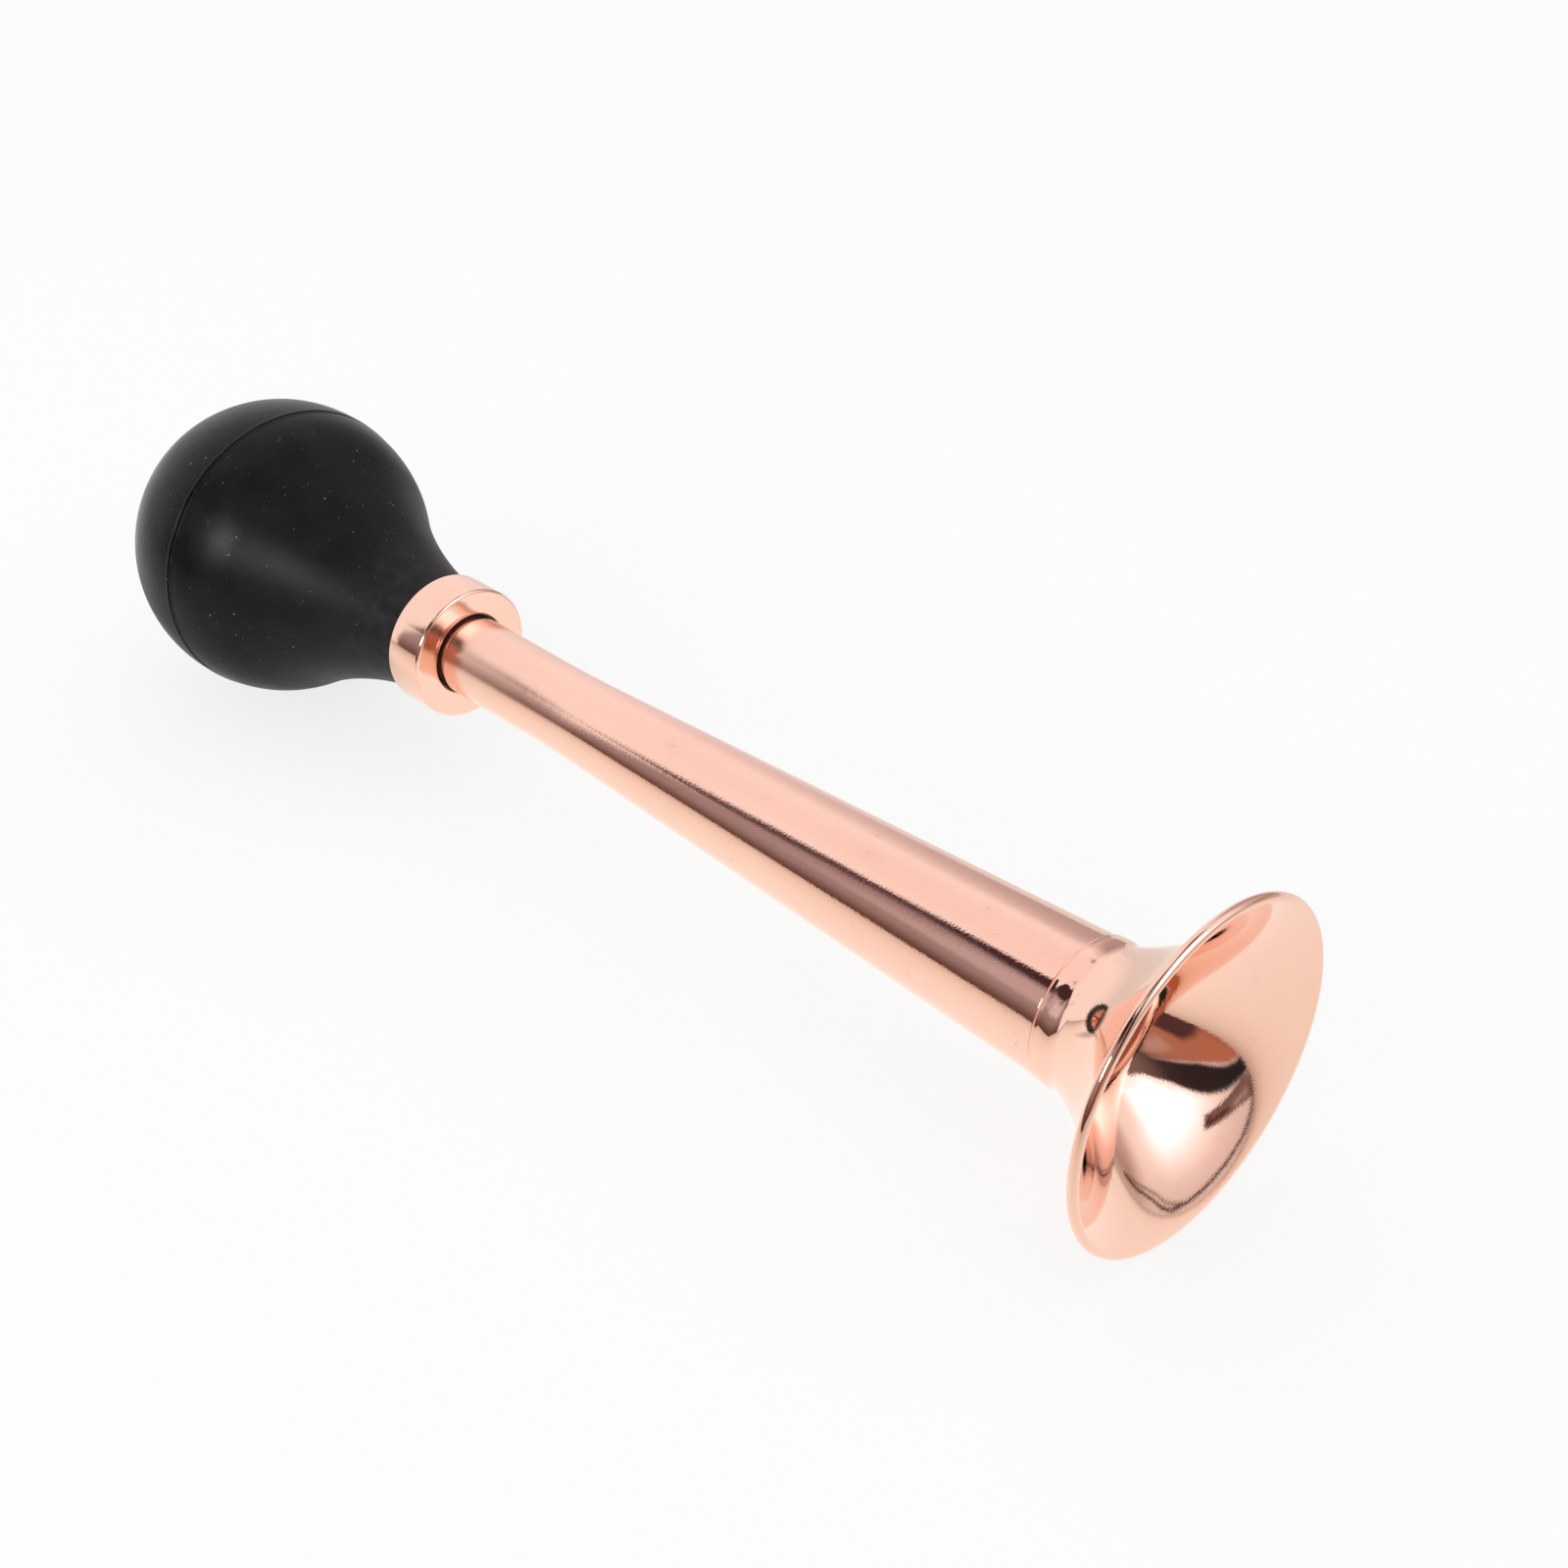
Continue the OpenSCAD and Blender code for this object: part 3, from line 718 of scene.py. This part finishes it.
# what stands round the table, painted on a dome that only reflections see: places are (azimuth, elevation)
# in degrees, azimuth 0 along +X and 90 along +Y
surround = {
    "radius": 5.0, "step": 0.5, "low": -20.0, "base": (1.04, 1.01, 1.02),
    "cards": [
        # paler above, and the dark ceiling
        {"soft": 16, "colour": (1.02, 0.92, 0.92), "corners": [(-200, 50), (-200, 99), (200, 99), (200, 50)]},
        {"soft": 10, "colour": (0.10, 0.08, 0.08),
         "corners": [(-135, 66), (-135, 99), (135, 99), (135, 62), (84, 62), (60, 76), (-10, 78), (-40, 70),
                     (-100, 62)]},
        # dim wall behind on the right
        {"soft": 26, "colour": (0.48, 0.39, 0.41),
         "corners": [(74, -20), (74, 30), (96, 48), (120, 48), (128, 34), (127, 10), (125, -20)]},
        # a little darker along the far edge on the left
        {"soft": 14, "colour": (0.85, 0.82, 0.82), "corners": [(140, -20), (140, 5), (180, 5), (180, -20)]},
        # in front of the mouth: pale wall, its darker right end and the glow of a soft box
        {"soft": 5, "stops": [(2, (0.76, 0.71, 0.70)), (5, (0.80, 0.75, 0.74)), (11, (0.90, 0.86, 0.85)),
                              (17, (0.98, 0.96, 0.96)), (25, (1.03, 1.0, 1.0))],
         "corners": [(-22, -20), (-22, 64), (0, 70), (50, 66), (80, 50), (88, 40), (88, -20)]},
        {"soft": 16, "stops": [(2, (0.42, 0.34, 0.30)), (8, (0.44, 0.36, 0.31)), (12, (0.52, 0.43, 0.39)),
                               (20, (0.62, 0.53, 0.50)), (30, (0.74, 0.65, 0.65))],
         "corners": [(56, 1), (57, 14), (62, 26), (68, 34), (78, 38), (92, 34), (92, 1)]},
        {"soft": 50, "colour": (2.6, 3.0, 3.7), "corners": [(-6, 35), (32, 35), (32, 53), (-6, 53)]},
        # room in front on the left, dark above, with two lighter patches and a dark edge
        {"soft": 1.8, "stops": [(-5, (0.12, 0.07, 0.06)), (0, (0.18, 0.115, 0.11)), (5, (0.26, 0.19, 0.19)),
                                (10, (0.33, 0.27, 0.28)), (14, (0.36, 0.30, 0.31)), (25, (0.39, 0.32, 0.34)),
                                (36, (0.31, 0.25, 0.28)), (41, (0.06, 0.03, 0.035)),
                                (56, (0.06, 0.03, 0.035))],
         "corners": [(-137.5, -20), (-137.5, 8), (-137.5, 18), (-138, 26), (-139.5, 33), (-142.5, 46),
                     (-140, 54), (-130, 58), (-95, 56), (-60, 56), (-60, -20)]},
        {"soft": 7, "colour": (0.56, 0.49, 0.52),
         "corners": [(-130, 19), (-131, 36), (-112, 40), (-112, 15)]},
        {"soft": 7, "colour": (0.72, 0.66, 0.66),
         "corners": [(-119, 16), (-119, 34), (-104, 34), (-104, 18)]},
        {"soft": 2.5, "colour": (0.10, 0.06, 0.07),
         "corners": [(-140, 24), (-142.5, 40), (-137, 42), (-136, 34), (-136.5, 24)]},
        # key box
        {"soft": 2, "colour": (50.0, 49.5, 49.0),
         "corners": [(-91, 25), (-89, 30), (-84.5, 31.5), (-80, 30), (-78.5, 25), (-80, 20.5), (-84.5, 19),
                     (-89, 20.5)]},
        # camera's side as the mouth sees it: orange hanging, a paler fold, a dark gap and a black backdrop
        {"soft": 2.5, "stops": [(-8, (0.38, 0.14, 0.10)), (0, (0.46, 0.20, 0.115)), (12, (0.46, 0.20, 0.13)),
                                (28, (0.44, 0.21, 0.15)), (45, (0.28, 0.14, 0.12))],
         "corners": [(-66, -8.6), (-45, -8.6), (-27, -8.2), (-24.5, -2), (-25, 3), (-28, 8), (-33, 15),
                     (-38, 26), (-41, 36), (-44, 46), (-52, 49), (-60, 38), (-66, 22)]},
        {"soft": 9, "colour": (0.50, 0.36, 0.30),
         "corners": [(-59, 22), (-60, 36), (-51, 44), (-47, 34), (-49, 24)]},
        {"soft": 6, "colour": (0.09, 0.045, 0.045),
         "corners": [(-70, -9), (-66, 14), (-50, 12), (-48, 3), (-50, -9)]},
        {"soft": 2, "colour": (0.2, 0.1, 0.09), "line": [(-50, -7), (-40, -8), (-30, -8)], "half": 0.8},
        {"soft": 3.5, "stops": [(0, (0.022, 0.022, 0.026)), (30, (0.035, 0.026, 0.028)),
                                (40, (0.05, 0.035, 0.035)), (48, (0.12, 0.09, 0.09)),
                                (60, (0.21, 0.16, 0.15))],
         "corners": [(-25.5, -7.5), (-24, 0), (-25, 5), (-28, 10), (-34, 18), (-38, 28), (-41, 36), (-44, 44),
                     (-51, 47), (-58, 37), (-62, 37), (-54, 53), (-42, 62), (-10, 70), (6, 71), (2, 65),
                     (-13, 61), (-20, 56), (-21, 48), (-21, 41), (-18, 35), (-15.2, 28), (-13.2, 20),
                     (-13.2, 10), (-14.5, 3), (-16, -4)]},
        # slanting board and the far edge of the table
        {"soft": 1.5, "colour": (0.22, 0.15, 0.14),
         "corners": [(-15.5, -2), (-12.5, 6), (-10, 10.5), (-7, 15.3), (-3.5, 20), (-1, 23.2), (7, 20.8),
                     (3.5, 16.5), (0.5, 12.5), (-3, 6), (-4.5, -1)]},
        {"soft": 2, "colour": (0.08, 0.035, 0.03),
         "line": [(-3.5, 11.5), (-1, 15.5), (2.5, 20)], "half": 1.2},
        {"soft": 2, "colour": (0.42, 0.33, 0.31), "line": [(-8, 2), (-5.5, 7)], "half": 1.2},
        {"soft": 1.2, "colour": (0.08, 0.035, 0.03),
         "line": [(-14.5, 1), (-9, 11), (-3, 19.5), (4, 21.5)], "half": 0.5},
        {"soft": 1.4, "colour": (0.24, 0.16, 0.14),
         "line": [(36, 3.2), (41, 4.3), (44, 5.9), (47, 7.6), (52, 7.9), (57, 7.0), (64, 5.6)], "half": 0.6},
        {"soft": 1.3, "colour": (0.06, 0.025, 0.02),
         "line": [(-16, -3.2), (-10, -1.8), (-3, -1.1), (3, 0), (9, 1.0), (15, 2.3), (22, 3.1), (30, 3.0),
                  (36, 2.4), (41, 1.4), (45, 2.9), (49, 4.8), (54, 5.0), (58, 4.4), (66, 3.8)], "half": 0.8},
    ],
}


def cardShare(card, az, el):
    # how much of a card shows at each place: a patch inside its corners or a line, both with a soft edge
    away = np.full(az.shape, 1e9)
    within = np.zeros(az.shape, bool)
    corners = card.get("corners") or card["line"]
    ends = corners[1:] + (corners[:1] if "corners" in card else [])
    for (a, b), (c, d) in zip(corners, ends):
        share = np.clip(((az - a) * (c - a) + (el - b) * (d - b)) / ((c - a) ** 2 + (d - b) ** 2), 0, 1)
        away = np.minimum(away, np.hypot(az - a - share * (c - a), el - b - share * (d - b)))
        if b != d:
            within ^= ((b > el) != (d > el)) & (az < (c - a) * (el - b) / (d - b) + a)
    signed = np.where(within, away, -away) if "corners" in card else card["half"] - away
    t = np.clip(signed / card["soft"] + 0.5, 0, 1)
    return t * t * (3 - 2 * t)


def makeSurround(dims):
    columns, rows = int(360 / dims["step"]), int((90 - dims["low"]) / dims["step"])
    az, el = np.meshgrid(np.arange(columns) * dims["step"] - 180, np.linspace(dims["low"], 89.9, rows + 1))
    az, el = az.ravel(), el.ravel()
    paint = np.tile(np.array(dims["base"]), (len(az), 1))
    for card in dims["cards"]:
        # a card has one colour, or stops that change it with the elevation
        stops = card.get("stops") or [(0, card["colour"])]
        heights = [e for e, _ in stops]
        colour = np.stack([np.interp(el, heights, [c[i] for _, c in stops]) for i in range(3)], 1)
        share = cardShare(card, az, el)[:, None]
        paint = paint * (1 - share) + colour * share
    a, e = np.radians(az), np.radians(el)
    points = dims["radius"] * np.stack([np.cos(a) * np.cos(e), np.sin(a) * np.cos(e), np.sin(e)], 1)
    faces = []
    for row in range(rows):
        low, high = row * columns, (row + 1) * columns
        for k in range(columns):
            n = (k + 1) % columns
            faces.append((low + k, low + n, high + n, high + k))
    mesh = bpy.data.meshes.new("surround")
    mesh.from_pydata(points.tolist(), [], faces)
    layer = mesh.color_attributes.new("paint", "FLOAT_COLOR", "POINT")
    layer.data.foreach_set("color", np.hstack([paint, np.ones((len(az), 1))]).ravel())
    finish = newFinish("surroundPaint")
    painted = finish.add("ShaderNodeAttribute", {"attribute_name": "paint"})
    glow = finish.add("ShaderNodeEmission", sockets={"Color": painted, "Strength": 1.0})
    finish.tree.links.new(glow.socket, finish.tree.nodes["Material Output"].inputs["Surface"])
    mesh.materials.append(finish.owner)
    dome = shown("surround", mesh)
    for kind in ("camera", "diffuse", "transmission", "shadow", "volume_scatter"):
        setattr(dome, "visible_" + kind, False)


def makeLamp(name, place, size, power):
    lamp = bpy.data.lights.new(name, "AREA")
    lamp.size = size
    lamp.energy = power
    holder = bpy.data.objects.new(name, lamp)
    holder.location = place
    holder.rotation_euler = Vector(place).to_track_quat("Z", "Y").to_euler()
    holder.visible_glossy = False  # the surround is what the horn mirrors
    bpy.context.scene.collection.objects.link(holder)


def makeWorld(dims):
    world = bpy.data.worlds.new("studio")
    bpy.context.scene.world = world
    finish = Finish(world)
    seen = finish.rays("Is Camera Ray") + finish.rays("Is Glossy Ray") + finish.rays("Is Transmission Ray")
    background = finish.tree.nodes["Background"]
    finish.fill(background, "Color", (1, 1, 1))
    finish.fill(background, "Strength", seen.capped() * (1 - dims["sky"]) + dims["sky"])


def makeCamera(dims):
    camera = bpy.data.cameras.new("camera")
    camera.lens = dims["lens"]
    camera.sensor_width = 36
    camera.clip_start = 0.01
    holder = bpy.data.objects.new("camera", camera)
    turn = Matrix([dims["cameraRight"], dims["cameraUp"], dims["cameraBack"]]).transposed()
    holder.matrix_world = Matrix.Translation(Vector(dims["cameraAt"]) / 1000) @ turn.to_4x4()
    bpy.context.scene.collection.objects.link(holder)
    bpy.context.scene.camera = holder


makeTable(stage)
makeSurround(surround)
keyPlace = Vector(stage["keyFrom"]).normalized() * stage["keyAway"]
makeLamp("keyLamp", keyPlace, stage["keySize"], stage["keyPower"])
makeLamp("topLamp", stage["topPlace"], stage["topSize"], stage["topPower"])
makeWorld(stage)
makeCamera(stage)
bpy.context.scene.view_settings.view_transform = "Standard"
print("stage ready")
